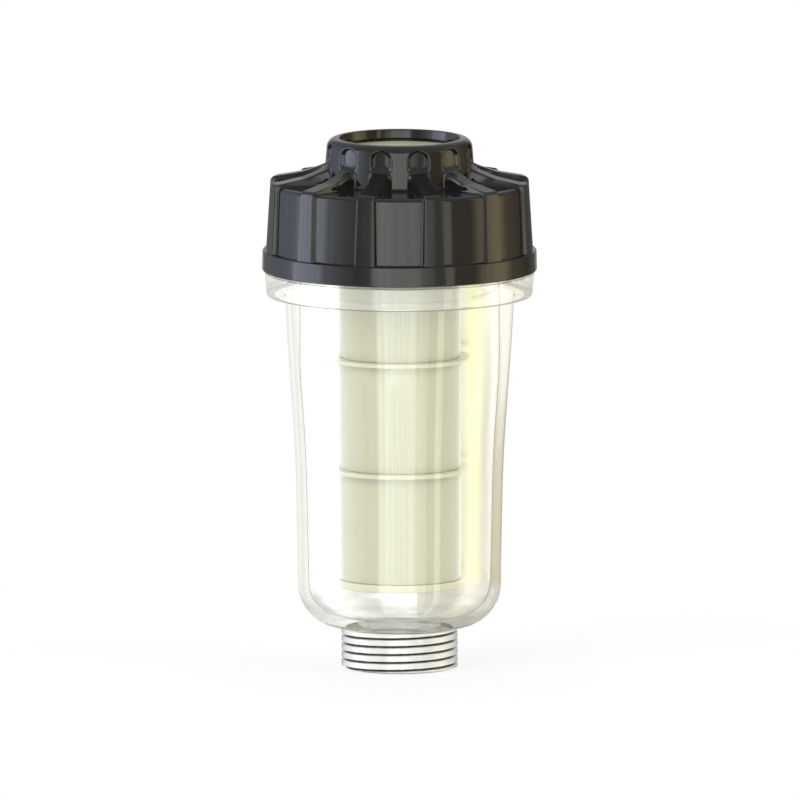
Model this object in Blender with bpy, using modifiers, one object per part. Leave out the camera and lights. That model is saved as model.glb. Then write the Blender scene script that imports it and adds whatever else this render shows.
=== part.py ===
"""Plastic in-line water filter: a clear screw-on bowl, a ribbed screw cap and a screen insert.

The filter stands upright on the end of its outlet spigot, with the axis along +Z and the origin
in the middle of that end. Lengths are in metres, radii are measured from the axis.
"""

import math

import bmesh
import bpy
from mathutils import Matrix, Vector

# Clearances
FIT_GAP = 0.0003
THREAD_GAP = 0.0006
SEAL_GAP = 0.00025
MOUTH_GAP = 0.0002

# Facets of the round surfaces
OUTER_FACETS = 60
INNER_FACETS = 32
THREAD_FACETS = 36
RING_FACETS = 8
ARCH_FACETS = 6
FILLET_FINENESS = 0.00035

# Outlet spigot: a G3/4 outside thread, drawn here at its major diameter
SPIGOT_RADIUS = 0.01322
SPIGOT_LENGTH = 0.0096
SPIGOT_CHAMFER = 0.0011
SPIGOT_WALL = 0.00372

# Bowl: a drafted body that swells towards its flange
BOWL_WALL = 0.0024
BOWL_FLOOR = 0.0026
BOWL_CORNER_RADIUS = 0.0099
BODY_FOOT_RADIUS = 0.0230
BODY_HEIGHT = 0.0760
BODY_DRAFT = 0.0217
BODY_SWELL = 0.0016
SWELL_BELOW_FLANGE = 0.0436
SWELL_ABOVE_FLANGE = 0.0024
BODY_STATIONS = 6
FLANGE_INSET = 0.0006
FLANGE_DRAFT = 0.0005
FLANGE_HEIGHT = 0.0054
SMALL_FILLET = 0.0003
FILLET = 0.0006

# Neck of the bowl, inside the cap
NECK_RADIUS = 0.0250
NECK_WALL = 0.0024
NECK_HEIGHT = 0.0136
SEAL_LAND_HEIGHT = 0.0026
SEAL_LAND_STEP = 0.0006

# Coarse screw thread between the neck and the cap
SCREW_PITCH = 0.0040
SCREW_DEPTH = 0.0013
SCREW_ROOT_WIDTH = 0.0026
SCREW_CREST_WIDTH = 0.0013
SCREW_TURNS = 1.75
SCREW_START = 0.0021
SCREW_SINK = 0.0004

# Cap: skirt, shoulder and boss
CAP_FOOT_GAP = 0.0003
CAP_WALL = 0.0023
PANEL_DRAFT = 0.0007
BAND_PROUD = 0.0014
BAND_HEIGHT = 0.0046
BAND_DRAFT = 0.0002
CEILING_WALL = 0.0024
SHOULDER_FALL = 0.0003
SHOULDER_ROUND = 0.0011
BOSS_HEIGHT = 0.0100
BOSS_WALL = 0.0016
BOSS_DRAFT = 0.0004
BOSS_ROUND = 0.0017
LIP_HEIGHT = 0.0020

# Ribs of the cap, each with a flute in the boss that its top runs out of
RIB_COUNT = 12
RIB_PROUD = 0.0009
RIB_FOOT_WIDTH = 0.0049
RIB_TOP_WIDTH = 0.0045
RIB_EDGE_RISE = 0.0005
RIB_SLOPE = 0.18
RIB_ROUND = 0.0014
SLIDE_RADIUS = 0.0030
SLIDE_DRAFT = 0.0009
FLUTE_DEPTH = 0.0008
FLUTE_WIDTH = 0.0042
FLUTE_TOP_DROP = 0.0013

# Inlet bush: a G3/4 inside thread, drawn here at its minor diameter
BUSH_BORE_RADIUS = 0.01206
BUSH_WALL = 0.00284
BUSH_LEAD_IN = 0.0012
BUSH_FLANGE_PROUD = 0.0056
BUSH_FLANGE_HEIGHT = 0.0022
BUSH_SPIGOT_STEP = 0.0002
BUSH_SPIGOT_LENGTH = 0.0044
BUSH_SEAT_HEIGHT = 0.0023
BUSH_SEAT_WIDTH = 0.00256
GASKET_HEIGHT = 0.0020
BUSH_SEAL_SECTION = 0.0014
BUSH_SEAL_CHAMFER = 0.0026

# Screen insert
SCREEN_RADIUS = 0.0140
SCREEN_WALL = 0.0006
CAGE_WALL = 0.0010
CAGE_RIB_COUNT = 8
CAGE_RIB_WIDTH = 0.0016
CAGE_RIB_INSET = 0.0002
HOOP_PROUD = 0.0024
HOOP_HEIGHT = 0.0010
HOOP_COUNT = 3
END_CAP_CLEARANCE = 0.0066
END_CAP_PROUD = 0.0008
END_CAP_HEIGHT = 0.0018
END_PLUG_WALL = 0.0014
END_PLUG_HEIGHT = 0.0030
FOOT_HOOP_HEIGHT = 0.0022
HEAD_FLANGE_HEIGHT = 0.0015
HEAD_COLLAR_WALL = 0.0018
HEAD_COLLAR_LENGTH = 0.0088
HEAD_LIP_WALL = 0.0010
HEAD_LIP_HEIGHT = 0.0030

# Heights that follow from the sizes above
bowl_foot_z = SPIGOT_LENGTH
corner_z = bowl_foot_z + BOWL_CORNER_RADIUS
floor_z = bowl_foot_z + BOWL_FLOOR
body_top_z = bowl_foot_z + BODY_HEIGHT
flange_top_z = body_top_z + FLANGE_HEIGHT
neck_top_z = flange_top_z + NECK_HEIGHT
seal_land_z = neck_top_z - SEAL_LAND_HEIGHT
head_flange_z = neck_top_z + FIT_GAP
head_top_z = head_flange_z + HEAD_FLANGE_HEIGHT
head_foot_z = head_flange_z - HEAD_COLLAR_LENGTH
bush_flange_z = head_top_z + FIT_GAP
bush_shoulder_z = bush_flange_z + BUSH_FLANGE_HEIGHT
bush_foot_z = bush_flange_z - BUSH_SPIGOT_LENGTH
gasket_z = bush_foot_z + BUSH_SEAT_HEIGHT + FIT_GAP
cap_foot_z = flange_top_z + CAP_FOOT_GAP
band_top_z = cap_foot_z + BAND_HEIGHT
ceiling_z = bush_shoulder_z + FIT_GAP
shoulder_z = ceiling_z + CEILING_WALL
rib_edge_z = shoulder_z + RIB_EDGE_RISE
cap_top_z = shoulder_z + BOSS_HEIGHT
flute_top_z = cap_top_z - FLUTE_TOP_DROP
lip_z = cap_top_z - LIP_HEIGHT
bush_top_z = lip_z - FIT_GAP
end_cap_z = floor_z + END_CAP_CLEARANCE
end_cap_top_z = end_cap_z + END_CAP_HEIGHT
hoop_pitch = (head_foot_z + HOOP_HEIGHT - end_cap_top_z) / HOOP_COUNT

# Radii that follow from the sizes above, from the bowl outwards
outlet_bore_radius = SPIGOT_RADIUS - SPIGOT_WALL
neck_bore_radius = NECK_RADIUS - NECK_WALL
land_radius = NECK_RADIUS - SEAL_LAND_STEP
cap_bore_radius = NECK_RADIUS + SCREW_DEPTH + THREAD_GAP
panel_top_radius = cap_bore_radius + CAP_WALL
panel_foot_radius = panel_top_radius + PANEL_DRAFT
band_radius = panel_foot_radius + BAND_PROUD
flange_radius = band_radius - FLANGE_INSET

# Radii that follow from the sizes above, from the inlet outwards
throat_radius = BUSH_BORE_RADIUS - BUSH_SEAT_WIDTH
mouth_radius = BUSH_BORE_RADIUS + BUSH_LEAD_IN + MOUTH_GAP
bush_radius = BUSH_BORE_RADIUS + BUSH_WALL
bush_room_radius = bush_radius + FIT_GAP
bush_spigot_radius = bush_radius - BUSH_SPIGOT_STEP
collar_bore_radius = bush_spigot_radius + FIT_GAP
collar_radius = collar_bore_radius + HEAD_COLLAR_WALL
boss_top_radius = bush_room_radius + BOSS_WALL
boss_foot_radius = boss_top_radius + BOSS_DRAFT
flute_floor_radius = boss_top_radius - FLUTE_DEPTH
boss_core_radius = bush_room_radius + FIT_GAP

# Radii of the insert that follow from the sizes above
head_flange_radius = land_radius - FIT_GAP
head_room_radius = land_radius + FIT_GAP
cage_radius = SCREEN_RADIUS - SCREEN_WALL - FIT_GAP
cage_bore_radius = cage_radius - CAGE_WALL
hoop_radius = SCREEN_RADIUS + HOOP_PROUD
end_cap_radius = SCREEN_RADIUS + END_CAP_PROUD


def scene_collection(name):
    """An empty collection of this name, linked to the scene."""
    collection = bpy.data.collections.new(name)
    bpy.context.scene.collection.children.link(collection)
    return collection


def clear_scene():
    """Remove whatever the scene holds, so that the model starts from nothing."""
    for old in list(bpy.data.objects):
        bpy.data.objects.remove(old, do_unlink=True)
    for old in list(bpy.data.collections):
        bpy.data.collections.remove(old)


clear_scene()
parts = scene_collection("inline_filter")
cutters = scene_collection("cutters")


def plastic(name, colour, roughness, transmission=0.0, metallic=0.0):
    """A Principled material in one colour."""
    material = bpy.data.materials.new(name)
    material.use_nodes = True
    shader = material.node_tree.nodes["Principled BSDF"]
    shader.inputs["Base Color"].default_value = (*colour, 1.0)
    shader.inputs["Roughness"].default_value = roughness
    shader.inputs["Metallic"].default_value = metallic
    shader.inputs["Transmission Weight"].default_value = transmission
    material.diffuse_color = (*colour, 1.0 - 0.7 * transmission)
    return material


CLEAR = plastic("clear_plastic", (0.93, 0.95, 0.90), 0.05, transmission=1.0)
BLACK = plastic("black_plastic", (0.012, 0.012, 0.013), 0.22)
CREAM = plastic("cream_plastic", (0.80, 0.82, 0.66), 0.28)
WHITE = plastic("white_plastic", (0.82, 0.82, 0.74), 0.30)
MESH = plastic("screen_mesh", (0.78, 0.80, 0.66), 0.40)
RUBBER = plastic("black_rubber", (0.02, 0.02, 0.02), 0.65)
GREY_RUBBER = plastic("grey_rubber", (0.12, 0.12, 0.12), 0.70)


def add_object(name, mesh, material=None):
    """Put a mesh in the scene: as a part if it has a material, otherwise as a cutter."""
    obj = bpy.data.objects.new(name, mesh)
    if material:
        mesh.materials.append(material)
        parts.objects.link(obj)
    else:
        cutters.objects.link(obj)
        obj.hide_render = True
        obj.display_type = "WIRE"
    return obj


def rounded(corners):
    """Outline points of (radius, height, fillet) corners, each fillet drawn as an arc."""
    outline = []
    for index, (radius, height, fillet) in enumerate(corners):
        corner = Vector((radius, height))
        if not fillet:
            outline.append(corner)
            continue
        before = (Vector(corners[index - 1][:2]) - corner).normalized()
        after = (Vector(corners[(index + 1) % len(corners)][:2]) - corner).normalized()
        half_angle = before.angle(after) / 2
        reach = fillet / math.tan(half_angle)
        centre = corner + (before + after).normalized() * fillet / math.sin(half_angle)
        first = corner + before * reach - centre
        last = corner + after * reach - centre
        facets = max(1, round(math.sqrt(fillet / FILLET_FINENESS)))
        outline += [centre + fillet * first.slerp(last, step / facets) for step in range(facets + 1)]
    return outline


def turned(name, outlines, facets, material=None):
    """A body of revolution about Z: closed outlines of (radius, height), turned by a Screw."""
    mesh = bpy.data.meshes.new(name)
    points, edges = [], []
    for outline in outlines:
        first = len(points)
        points += [(radius, 0.0, height) for radius, height in outline]
        count = len(outline)
        edges += [(first + i, first + (i + 1) % count) for i in range(count)]
    mesh.from_pydata(points, edges, [])
    obj = add_object(name, mesh, material)
    screw = obj.modifiers.new("Turn", "SCREW")
    screw.steps = facets
    screw.render_steps = facets
    screw.use_merge_vertices = True
    screw.merge_threshold = 0.000001
    screw.use_smooth_shade = False
    return obj


def boolean(obj, operation, other):
    """Join, cut or intersect an object with another one."""
    modifier = obj.modifiers.new(operation.capitalize(), "BOOLEAN")
    modifier.operation = operation
    modifier.solver = "EXACT"
    modifier.object = other


def mesh_from_bmesh(name, bm):
    """Store a bmesh with its faces pointing outwards."""
    bmesh.ops.recalc_face_normals(bm, faces=bm.faces)
    mesh = bpy.data.meshes.new(name)
    bm.to_mesh(mesh)
    bm.free()
    return mesh


def around_axis(bm, count, first_angle):
    """Copy all that a bmesh holds to a ring of places about the Z axis."""
    original = bm.verts[:] + bm.edges[:] + bm.faces[:]
    bmesh.ops.rotate(bm, verts=bm.verts, matrix=Matrix.Rotation(first_angle, 3, "Z"))
    for index in range(1, count):
        copy = bmesh.ops.duplicate(bm, geom=original)["geom"]
        turned_verts = [item for item in copy if isinstance(item, bmesh.types.BMVert)]
        turn = Matrix.Rotation(index * math.tau / count, 3, "Z")
        bmesh.ops.rotate(bm, verts=turned_verts, matrix=turn)


def screw_ridge(name, section, side):
    """Thread ridge swept along the screw's helix from +X (side 1) or from -X (side -1)."""
    start_z = flange_top_z + SCREW_START
    bm = bmesh.new()
    corners = [bm.verts.new((side * radius, 0.0, start_z + height)) for radius, height in section]
    face = bm.faces.new(corners)
    steps = round(SCREW_TURNS * THREAD_FACETS)
    bmesh.ops.spin(
        bm,
        geom=[face, *face.edges, *face.verts],
        axis=(0, 0, 1),
        cent=(0, 0, 0),
        dvec=(0, 0, SCREW_PITCH / THREAD_FACETS),
        angle=SCREW_TURNS * math.tau,
        steps=steps,
    )
    return add_object(name, mesh_from_bmesh(name, bm))


def ridge_section(root_radius, direction):
    """Trapezoid of a ridge that stands on root_radius, outwards (+1) or inwards (-1)."""
    flank = (SCREW_ROOT_WIDTH - SCREW_CREST_WIDTH) / 2 / SCREW_DEPTH
    sunk = root_radius - direction * SCREW_SINK
    crest = root_radius + direction * SCREW_DEPTH
    half_sunk = SCREW_ROOT_WIDTH / 2 + flank * SCREW_SINK
    half_crest = SCREW_CREST_WIDTH / 2
    return [(sunk, -half_sunk), (crest, -half_crest), (crest, half_crest), (sunk, half_sunk)]


def body_radius(height):
    """Outside radius of the bowl's body: a drafted wall that swells towards its flange."""
    swell_start = body_top_z - SWELL_BELOW_FLANGE
    swell_length = SWELL_BELOW_FLANGE + SWELL_ABOVE_FLANGE
    rise = min(max((height - swell_start) / swell_length, 0.0), 1.0)
    swell = BODY_SWELL * rise * rise * (3 - 2 * rise)
    return BODY_FOOT_RADIUS + BODY_DRAFT * (height - corner_z) + swell


def bore_radius(height):
    """Inside radius of the bowl: parallel to the body, and no wider than the neck's bore."""
    return min(body_radius(height) - BOWL_WALL, neck_bore_radius)


def make_bowl():
    """Clear moulding: threaded neck, flange, body, round bottom and outlet spigot."""
    station_drop = (body_top_z - corner_z) / BODY_STATIONS
    stations = [body_top_z - station_drop * i for i in range(1, BODY_STATIONS)]
    outside = [
        (land_radius, neck_top_z, SMALL_FILLET),
        (land_radius, seal_land_z, 0),
        (NECK_RADIUS, seal_land_z, 0),
        (NECK_RADIUS, flange_top_z, SMALL_FILLET),
        (flange_radius, flange_top_z, FILLET),
        (flange_radius - FLANGE_DRAFT, body_top_z, SMALL_FILLET),
        (body_radius(body_top_z), body_top_z, FILLET),
        *[(body_radius(z), z, 0) for z in stations],
        (BODY_FOOT_RADIUS, bowl_foot_z, BOWL_CORNER_RADIUS - FIT_GAP),
        (SPIGOT_RADIUS, bowl_foot_z, 0),
        (SPIGOT_RADIUS, SPIGOT_CHAMFER, 0),
        (SPIGOT_RADIUS - SPIGOT_CHAMFER, 0.0, 0),
    ]
    inside = [
        (outlet_bore_radius, 0.0, 0),
        (outlet_bore_radius, floor_z, FILLET),
        (BODY_FOOT_RADIUS - BOWL_WALL, floor_z, BOWL_CORNER_RADIUS - BOWL_WALL),
        *[(bore_radius(z), z, 0) for z in reversed(stations[::2])],
        (neck_bore_radius, neck_top_z, 0),
    ]
    bowl = turned("bowl", [rounded(outside + inside)], OUTER_FACETS, CLEAR)
    boolean(bowl, "UNION", screw_ridge("neck_ridge", ridge_section(NECK_RADIUS, 1), 1))


def rib_envelope():
    """Ring whose outside is the path of the rib tops: flute floor, slide, slope and skirt rib."""
    edge_radius = panel_top_radius + RIB_PROUD
    foot_radius = panel_foot_radius + RIB_PROUD
    slide_foot = flute_floor_radius + SLIDE_DRAFT
    slope_z = rib_edge_z + RIB_SLOPE * (edge_radius - slide_foot)
    top_z = flute_top_z + FLUTE_DEPTH
    skirt_middle = (cap_bore_radius + panel_top_radius) / 2
    shoulder_middle = shoulder_z - CEILING_WALL / 2
    band_middle = band_top_z - BAND_HEIGHT / 4
    outline = rounded([
        (flute_floor_radius, top_z, 0),
        (slide_foot, slope_z, SLIDE_RADIUS),
        (edge_radius, rib_edge_z, RIB_ROUND),
        (foot_radius, band_middle, 0),
        (skirt_middle, band_middle, 0),
        (skirt_middle, shoulder_middle, 0),
        (boss_core_radius + BUSH_SEAL_CHAMFER, shoulder_middle, 0),
        (boss_core_radius, shoulder_middle + BUSH_SEAL_CHAMFER, 0),
        (boss_core_radius, top_z, 0),
    ])
    return turned("rib_envelope", [outline], OUTER_FACETS)


def rib_blocks(envelope):
    """Twelve tapered radial blocks, trimmed to the envelope of the rib tops."""
    low = band_top_z - BAND_HEIGHT / 8
    high = flute_top_z
    bm = bmesh.new()
    block = bmesh.ops.create_cube(bm, size=1.0)["verts"]
    for vert in block:
        width = RIB_FOOT_WIDTH if vert.co.z < 0 else RIB_TOP_WIDTH
        vert.co.x = band_radius if vert.co.x > 0 else bush_room_radius
        vert.co.y = math.copysign(width / 2, vert.co.y)
        vert.co.z = low if vert.co.z < 0 else high
    around_axis(bm, RIB_COUNT, math.pi / RIB_COUNT)
    blocks = add_object("rib_blocks", mesh_from_bmesh("rib_blocks", bm))
    boolean(blocks, "INTERSECT", envelope)
    return blocks


def flute_cutters():
    """Twelve round-topped slots in the boss, whose floors are then made by the ribs."""
    arch_radius = FLUTE_WIDTH / 2
    low = rib_edge_z + SLIDE_RADIUS / 2
    arch = [(arch_radius * math.cos(math.pi * i / ARCH_FACETS),
             flute_top_z - arch_radius + arch_radius * math.sin(math.pi * i / ARCH_FACETS))
            for i in range(ARCH_FACETS + 1)]
    outline = [(arch_radius, low), *arch, (-arch_radius, low)]
    inner = (boss_core_radius + flute_floor_radius) / 2
    bm = bmesh.new()
    face = bm.faces.new([bm.verts.new((inner, y, z)) for y, z in outline])
    swept = bmesh.ops.extrude_face_region(bm, geom=[face], use_keep_orig=True)["geom"]
    outer_verts = [item for item in swept if isinstance(item, bmesh.types.BMVert)]
    bmesh.ops.translate(bm, verts=outer_verts, vec=(band_radius - inner, 0, 0))
    around_axis(bm, RIB_COUNT, math.pi / RIB_COUNT)
    return add_object("flute_cutters", mesh_from_bmesh("flute_cutters", bm))


def make_cap():
    """Black moulding: threaded skirt with twelve ribs, shoulder and fluted inlet boss."""
    outline = rounded([
        (mouth_radius, cap_top_z, 0),
        (boss_top_radius, cap_top_z, BOSS_ROUND),
        (boss_foot_radius, shoulder_z, FILLET),
        (panel_top_radius, shoulder_z - SHOULDER_FALL, SHOULDER_ROUND),
        (panel_foot_radius, band_top_z, 0),
        (band_radius - BAND_DRAFT, band_top_z, SMALL_FILLET),
        (band_radius, cap_foot_z, SMALL_FILLET),
        (cap_bore_radius, cap_foot_z, 0),
        (cap_bore_radius, neck_top_z, 0),
        (head_room_radius, neck_top_z, 0),
        (head_room_radius, ceiling_z, FILLET),
        (bush_room_radius + BUSH_SEAL_CHAMFER, ceiling_z, 0),
        (bush_room_radius, ceiling_z + BUSH_SEAL_CHAMFER, 0),
        (bush_room_radius, lip_z, 0),
        (mouth_radius, lip_z, 0),
    ])
    cap = turned("cap", [outline], OUTER_FACETS, BLACK)
    boolean(cap, "DIFFERENCE", flute_cutters())
    boolean(cap, "UNION", rib_blocks(rib_envelope()))
    boolean(cap, "UNION", screw_ridge("cap_ridge", ridge_section(cap_bore_radius, -1), -1))


def make_seal_ring(name, middle_radius, middle_z, section_radius):
    """Rubber ring of round section."""
    ring = [Vector((middle_radius + section_radius * math.cos(angle),
                    middle_z + section_radius * math.sin(angle)))
            for angle in [-math.tau * i / RING_FACETS for i in range(RING_FACETS)]]
    return turned(name, [ring], INNER_FACETS, RUBBER)


def make_cap_seal():
    """Ring that seals the neck in the cap, and stays in the cap when it comes off."""
    section_radius = (cap_bore_radius - land_radius) / 2 - FIT_GAP
    middle_radius = (cap_bore_radius + land_radius) / 2
    return make_seal_ring("cap_seal_ring", middle_radius, neck_top_z - FIT_GAP - section_radius,
                          section_radius)


def make_inlet():
    """Threaded bush of the inlet, its seal ring in the cap and the gasket it holds."""
    bush_outline = rounded([
        (BUSH_BORE_RADIUS + BUSH_LEAD_IN, bush_top_z, 0),
        (bush_radius, bush_top_z, 0),
        (bush_radius, bush_shoulder_z, 0),
        (bush_radius + BUSH_FLANGE_PROUD, bush_shoulder_z, SMALL_FILLET),
        (bush_radius + BUSH_FLANGE_PROUD, bush_flange_z, SMALL_FILLET),
        (bush_spigot_radius, bush_flange_z, 0),
        (bush_spigot_radius, bush_foot_z, FILLET),
        (throat_radius, bush_foot_z, 0),
        (throat_radius, bush_foot_z + BUSH_SEAT_HEIGHT, 0),
        (BUSH_BORE_RADIUS, bush_foot_z + BUSH_SEAT_HEIGHT, 0),
        (BUSH_BORE_RADIUS, bush_top_z - BUSH_LEAD_IN, 0),
    ])
    turned("inlet_bush", [bush_outline], INNER_FACETS, CREAM)
    section_radius = BUSH_SEAL_SECTION / 2
    make_seal_ring("bush_seal_ring", bush_radius + SEAL_GAP + section_radius,
                   bush_shoulder_z + SEAL_GAP + section_radius, section_radius)
    gasket_radius = BUSH_BORE_RADIUS - FIT_GAP
    gasket_outline = [Vector((throat_radius, gasket_z + GASKET_HEIGHT)),
                      Vector((gasket_radius, gasket_z + GASKET_HEIGHT)),
                      Vector((gasket_radius, gasket_z)),
                      Vector((throat_radius, gasket_z))]
    turned("inlet_gasket", [gasket_outline], INNER_FACETS, GREY_RUBBER)


def hoop_heights():
    """Foot height of each hoop of the cage, from the lowest to the one under the head."""
    return [end_cap_top_z - HOOP_HEIGHT + hoop_pitch * i for i in range(1, HOOP_COUNT + 1)]


def make_screen_cage():
    """Moulded cage of the insert: head with its flange, hoops, foot hoop and inner ribs."""
    foot_z = end_cap_top_z + FIT_GAP
    hoops = hoop_heights()
    lip_radius = neck_bore_radius - FIT_GAP
    cone_foot_z = head_foot_z + HOOP_HEIGHT + HEAD_COLLAR_WALL
    cone_top_z = bush_foot_z - 2 * FIT_GAP
    head = rounded([
        (collar_bore_radius, head_top_z, 0),
        (head_flange_radius, head_top_z, SMALL_FILLET),
        (head_flange_radius, head_flange_z, SMALL_FILLET),
        (lip_radius, head_flange_z, 0),
        (lip_radius, head_flange_z - HEAD_LIP_HEIGHT, 0),
        (lip_radius - HEAD_LIP_WALL, head_flange_z - HEAD_LIP_HEIGHT, 0),
        (lip_radius - HEAD_LIP_WALL, head_flange_z, 0),
        (collar_radius, head_flange_z, FILLET),
        (collar_radius, cone_top_z, 0),
        (SCREEN_RADIUS, head_foot_z + HOOP_HEIGHT, 0),
        (hoop_radius, head_foot_z + HOOP_HEIGHT, 0),
        (hoop_radius, head_foot_z, 0),
        (cage_bore_radius, head_foot_z, 0),
        (cage_bore_radius, cone_foot_z, 0),
        (collar_bore_radius, cone_top_z, 0),
    ])
    rings = [[Vector((cage_bore_radius, z + HOOP_HEIGHT)),
              Vector((hoop_radius, z + HOOP_HEIGHT)),
              Vector((hoop_radius, z)),
              Vector((cage_bore_radius, z))] for z in hoops[:-1]]
    foot = [Vector((cage_bore_radius, foot_z + FOOT_HOOP_HEIGHT)),
            Vector((cage_radius, foot_z + FOOT_HOOP_HEIGHT)),
            Vector((cage_radius, foot_z)),
            Vector((cage_bore_radius, foot_z))]
    cage = turned("screen_cage", [head, *rings, foot], INNER_FACETS, CREAM)

    inner = cage_bore_radius + CAGE_RIB_INSET
    bm = bmesh.new()
    bar = bmesh.ops.create_cube(bm, size=1.0)["verts"]
    for vert in bar:
        vert.co.x = cage_radius - CAGE_RIB_INSET if vert.co.x > 0 else inner
        vert.co.y = math.copysign(CAGE_RIB_WIDTH / 2, vert.co.y)
        vert.co.z = (head_foot_z if vert.co.z > 0 else foot_z) + HOOP_HEIGHT / 2
    around_axis(bm, CAGE_RIB_COUNT, 0.0)
    bars = add_object("cage_bars", mesh_from_bmesh("cage_bars", bm))
    boolean(cage, "UNION", bars)


def make_screens():
    """Woven sleeves of the insert, one in each bay between two hoops."""
    bay_foot = end_cap_top_z
    for index, hoop_z in enumerate(hoop_heights(), start=1):
        low = bay_foot + FIT_GAP
        high = hoop_z - FIT_GAP
        inner = SCREEN_RADIUS - SCREEN_WALL
        outline = [Vector((inner, high)), Vector((SCREEN_RADIUS, high)),
                   Vector((SCREEN_RADIUS, low)), Vector((inner, low))]
        turned(f"screen_sleeve_{index}", [outline], INNER_FACETS, MESH)
        bay_foot = hoop_z + HOOP_HEIGHT


def make_end_cap():
    """Cap that closes the foot of the insert, plugged into the foot hoop."""
    plug_radius = cage_bore_radius - FIT_GAP
    plug_top_z = end_cap_top_z + END_PLUG_HEIGHT
    outline = rounded([
        (0.0, end_cap_top_z, 0),
        (plug_radius - END_PLUG_WALL, end_cap_top_z, 0),
        (plug_radius - END_PLUG_WALL, plug_top_z, 0),
        (plug_radius, plug_top_z, 0),
        (plug_radius, end_cap_top_z, 0),
        (end_cap_radius, end_cap_top_z, SMALL_FILLET),
        (end_cap_radius, end_cap_z, SMALL_FILLET),
        (0.0, end_cap_z, 0),
    ])
    mesh = bpy.data.meshes.new("screen_end_cap")
    points = [(radius, 0.0, height) for radius, height in outline]
    mesh.from_pydata(points, [(i, i + 1) for i in range(len(points) - 1)], [])
    end_cap = add_object("screen_end_cap", mesh, CREAM)
    screw = end_cap.modifiers.new("Turn", "SCREW")
    screw.steps = INNER_FACETS
    screw.render_steps = INNER_FACETS
    screw.use_merge_vertices = True
    screw.merge_threshold = 0.000001


make_bowl()
make_cap()
make_cap_seal()
make_inlet()
make_screen_cage()
make_screens()
make_end_cap()
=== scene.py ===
# %% [markdown]
# # A plastic in-line water filter
# The real filter has a clear bowl with a threaded outlet at its foot, a black screw cap with an
# inlet at its top, and a pale screen insert between them. The packed model gives the frame: every
# size and every place. Each cell below makes one piece over it, in metres, where the frame has it.

# %% Load the frame
import math

import bpy
import numpy as np
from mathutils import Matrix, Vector


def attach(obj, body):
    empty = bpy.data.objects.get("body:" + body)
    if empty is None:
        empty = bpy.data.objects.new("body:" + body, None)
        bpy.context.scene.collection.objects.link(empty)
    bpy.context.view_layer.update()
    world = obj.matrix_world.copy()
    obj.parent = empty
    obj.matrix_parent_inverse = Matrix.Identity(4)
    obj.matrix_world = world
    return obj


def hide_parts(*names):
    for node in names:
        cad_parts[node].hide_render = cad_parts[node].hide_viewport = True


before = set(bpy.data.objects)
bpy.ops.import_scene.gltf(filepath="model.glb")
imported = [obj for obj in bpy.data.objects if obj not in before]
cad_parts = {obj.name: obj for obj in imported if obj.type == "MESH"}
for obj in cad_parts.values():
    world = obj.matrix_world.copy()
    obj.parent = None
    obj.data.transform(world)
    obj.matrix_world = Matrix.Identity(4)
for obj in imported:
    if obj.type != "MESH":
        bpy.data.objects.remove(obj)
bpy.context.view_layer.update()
MM = 0.001
print("nodes:", ", ".join(sorted(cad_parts)))

# %% [markdown]
# A scene made by script starts from an operator's habits: one object at a time is selected and
# active, and edit mode is entered on it. The frame's nodes come in selected, so two small helpers
# clear the selection before each step. They are all that stands between an operator and a node.

# %% Select, edit and leave
def deselect_all():
    """Leave edit mode and clear the selection."""
    if bpy.context.object and bpy.context.object.mode != "OBJECT":
        bpy.ops.object.mode_set(mode="OBJECT")
    bpy.ops.object.select_all(action="DESELECT")


def edit(piece):
    """Enter edit mode on one piece, with all of its mesh selected."""
    deselect_all()
    piece.select_set(True)
    bpy.context.view_layer.objects.active = piece
    bpy.ops.object.mode_set(mode="EDIT")
    bpy.ops.mesh.select_mode(type="VERT")
    bpy.ops.mesh.select_all(action="SELECT")


print("selected as the frame comes in:", len(bpy.context.selected_objects))

# %% [markdown]
# A mesh that was extruded or spun ends with doubled vertices and faces that look either way. Each
# piece is therefore merged, turned outwards and shaded smooth, with its corners kept.

# %% Merge, turn outwards and shade
MERGE_WITHIN = 0.002 * MM


def tidy(piece, smooth_angle=30.0):
    """Merge doubles, turn the faces outwards and shade smooth up to an angle."""
    edit(piece)
    bpy.ops.mesh.remove_doubles(threshold=MERGE_WITHIN)
    bpy.ops.mesh.normals_make_consistent(inside=False)
    bpy.ops.object.mode_set(mode="OBJECT")
    bpy.ops.object.shade_smooth_by_angle(angle=math.radians(smooth_angle))
    print(piece.name, len(piece.data.polygons), "faces")
    return piece


print("vertices are merged within", round(MERGE_WITHIN / MM, 3), "mm")

# %% [markdown]
# Nearly every piece of a filter is turned or moulded round one axis. By hand such a piece starts
# as one vertex, extruded from point to point into its outline, and is then spun about the axis.
# Corners of moulded plastic are never sharp, so an outline is written as corners with a fillet
# each, and each fillet becomes a short arc.

# %% Draw an outline and spin it
def filleted(corners):
    """Points of an outline of (radius, height, fillet) corners in mm, with arcs for fillets."""
    points = []
    for index, (radius, height, fillet) in enumerate(corners):
        corner = Vector((radius, height))
        if not fillet:
            points.append(corner)
            continue
        before = (Vector(corners[index - 1][:2]) - corner).normalized()
        after = (Vector(corners[(index + 1) % len(corners)][:2]) - corner).normalized()
        half_angle = before.angle(after) / 2
        reach = fillet / math.tan(half_angle)
        centre = corner + (before + after).normalized() * fillet / math.sin(half_angle)
        first = corner + before * reach - centre
        last = corner + after * reach - centre
        steps = max(3, round(math.degrees(math.pi - 2 * half_angle) / 11))
        points += [centre + fillet * first.slerp(last, i / steps) for i in range(steps + 1)]
    return points


def run(start, end, count):
    """Evenly spaced (radius, height, no fillet) points from start to end, both included."""
    return [(*Vector(start).lerp(Vector(end), i / count), 0) for i in range(count + 1)]


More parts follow.
